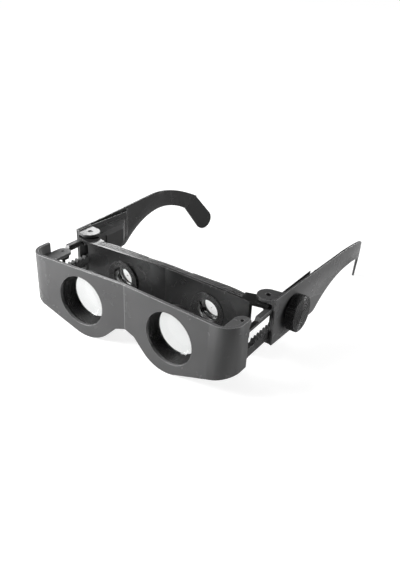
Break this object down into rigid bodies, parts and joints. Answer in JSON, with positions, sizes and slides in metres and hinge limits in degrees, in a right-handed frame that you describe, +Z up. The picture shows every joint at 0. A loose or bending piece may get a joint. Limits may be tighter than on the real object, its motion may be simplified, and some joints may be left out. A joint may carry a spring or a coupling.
{
  "type": "binocular glasses",
  "caption": "Hands-free binocular glasses: a front lens panel on racks, focused by side knobs, in a spectacle frame with hooked temples.",
  "frame": {"origin": "centre of the bounding box on the table, under the lobes and the ear tips", "axes": "+X to the right as seen from the front panel, -Y the way the wearer looks, +Y back along the temples, +Z up"},
  "size_m": [0.161, 0.1862, 0.0432],
  "materials": {
    "front_shell": "moulded ABS, semi-gloss black",
    "rear_shell": "moulded ABS, semi-gloss black",
    "temple_shell": "moulded ABS, semi-gloss black",
    "barrel": "moulded ABS, dull black",
    "rack_plastic": "moulded acetal, dull black",
    "cover_plastic": "moulded ABS, fine satin",
    "knob_plastic": "moulded ABS, satin",
    "optical": "polished acrylic",
    "steel": "ground steel",
    "spring_steel": "rolled spring steel",
    "bush_plastic": "turned acetal, dull black"
  },
  "bodies": {
    "rear_frame": {"rear_panel": "rear_shell", "eyepiece_holder_left": "barrel", "eyepiece_holder_right": "barrel", "eyepiece_lens_left": "optical", "eyepiece_lens_right": "optical", "eyepiece_ring_left": "barrel", "eyepiece_ring_right": "barrel"},
    "temple_left_assembly": {"temple_left": "temple_shell", "gear_cover_left": "cover_plastic", "cover_screw_left": "steel", "hinge_pin_left": "steel"},
    "rack_left_body": {"rack_left": "rack_plastic", "pivot_bushes_left": "bush_plastic"},
    "knob_left_assembly": {"pinion_left": "rack_plastic", "knob_left": "knob_plastic", "knob_washer_left": "spring_steel", "knob_screw_left": "steel"},
    "temple_right_assembly": {"temple_right": "temple_shell", "gear_cover_right": "cover_plastic", "cover_screw_right": "steel", "hinge_pin_right": "steel"},
    "rack_right_body": {"rack_right": "rack_plastic"},
    "knob_right_assembly": {"pinion_right": "rack_plastic", "knob_right": "knob_plastic", "knob_washer_right": "spring_steel", "knob_screw_right": "steel"},
    "front_frame": {"front_panel": "front_shell", "objective_barrel_left": "barrel", "objective_barrel_right": "barrel", "objective_lens_left": "optical", "objective_lens_right": "optical", "objective_ring_left": "barrel", "objective_ring_right": "barrel", "pivot_pin_left": "steel", "pivot_pin_right": "steel"}
  },
  "joints": [
    {"name": "temple_sway_left", "type": "hinge", "parent": "rear_frame", "child": "temple_left_assembly", "pos_m": [-0.065, -0.04742, 0.0396], "axis": [0, 0, 1], "range_deg": [-2, 2]},
    {"name": "focus_left", "type": "slide", "parent": "temple_left_assembly", "child": "rack_left_body", "axis": [0, -1, 0], "range_m": [-0.0025, 0.0045]},
    {"name": "knob_turn_left", "type": "hinge", "parent": "temple_left_assembly", "child": "knob_left_assembly", "pos_m": [0, -0.03342, 0.02835], "axis": [1, 0, 0], "range_deg": [-65, 37]},
    {"name": "temple_sway_right", "type": "hinge", "parent": "rear_frame", "child": "temple_right_assembly", "pos_m": [0.065, -0.04742, 0.0396], "axis": [0, 0, 1], "range_deg": [-2, 2]},
    {"name": "focus_right", "type": "slide", "parent": "temple_right_assembly", "child": "rack_right_body", "axis": [0, -1, 0], "range_m": [-0.0025, 0.0045]},
    {"name": "knob_turn_right", "type": "hinge", "parent": "temple_right_assembly", "child": "knob_right_assembly", "pos_m": [0, -0.03342, 0.02835], "axis": [1, 0, 0], "range_deg": [-65, 37]},
    {"name": "front_pivot", "type": "hinge", "parent": "rack_left_body", "child": "front_frame", "pos_m": [-0.0641, -0.07232, 0.0266], "axis": [0, 0, 1], "range_deg": [-2, 2]}
  ],
  "couplings": [
    {"joint": "knob_turn_left", "follows": "focus_left", "rad_per_m": -250},
    {"joint": "knob_turn_right", "follows": "focus_left", "rad_per_m": -250},
    {"joint": "temple_sway_right", "follows": "temple_sway_left", "ratio": 1},
    {"joint": "front_pivot", "follows": "temple_sway_left", "ratio": -1},
    {"joint": "focus_right", "follows": "focus_left", "ratio": 1}
  ]
}
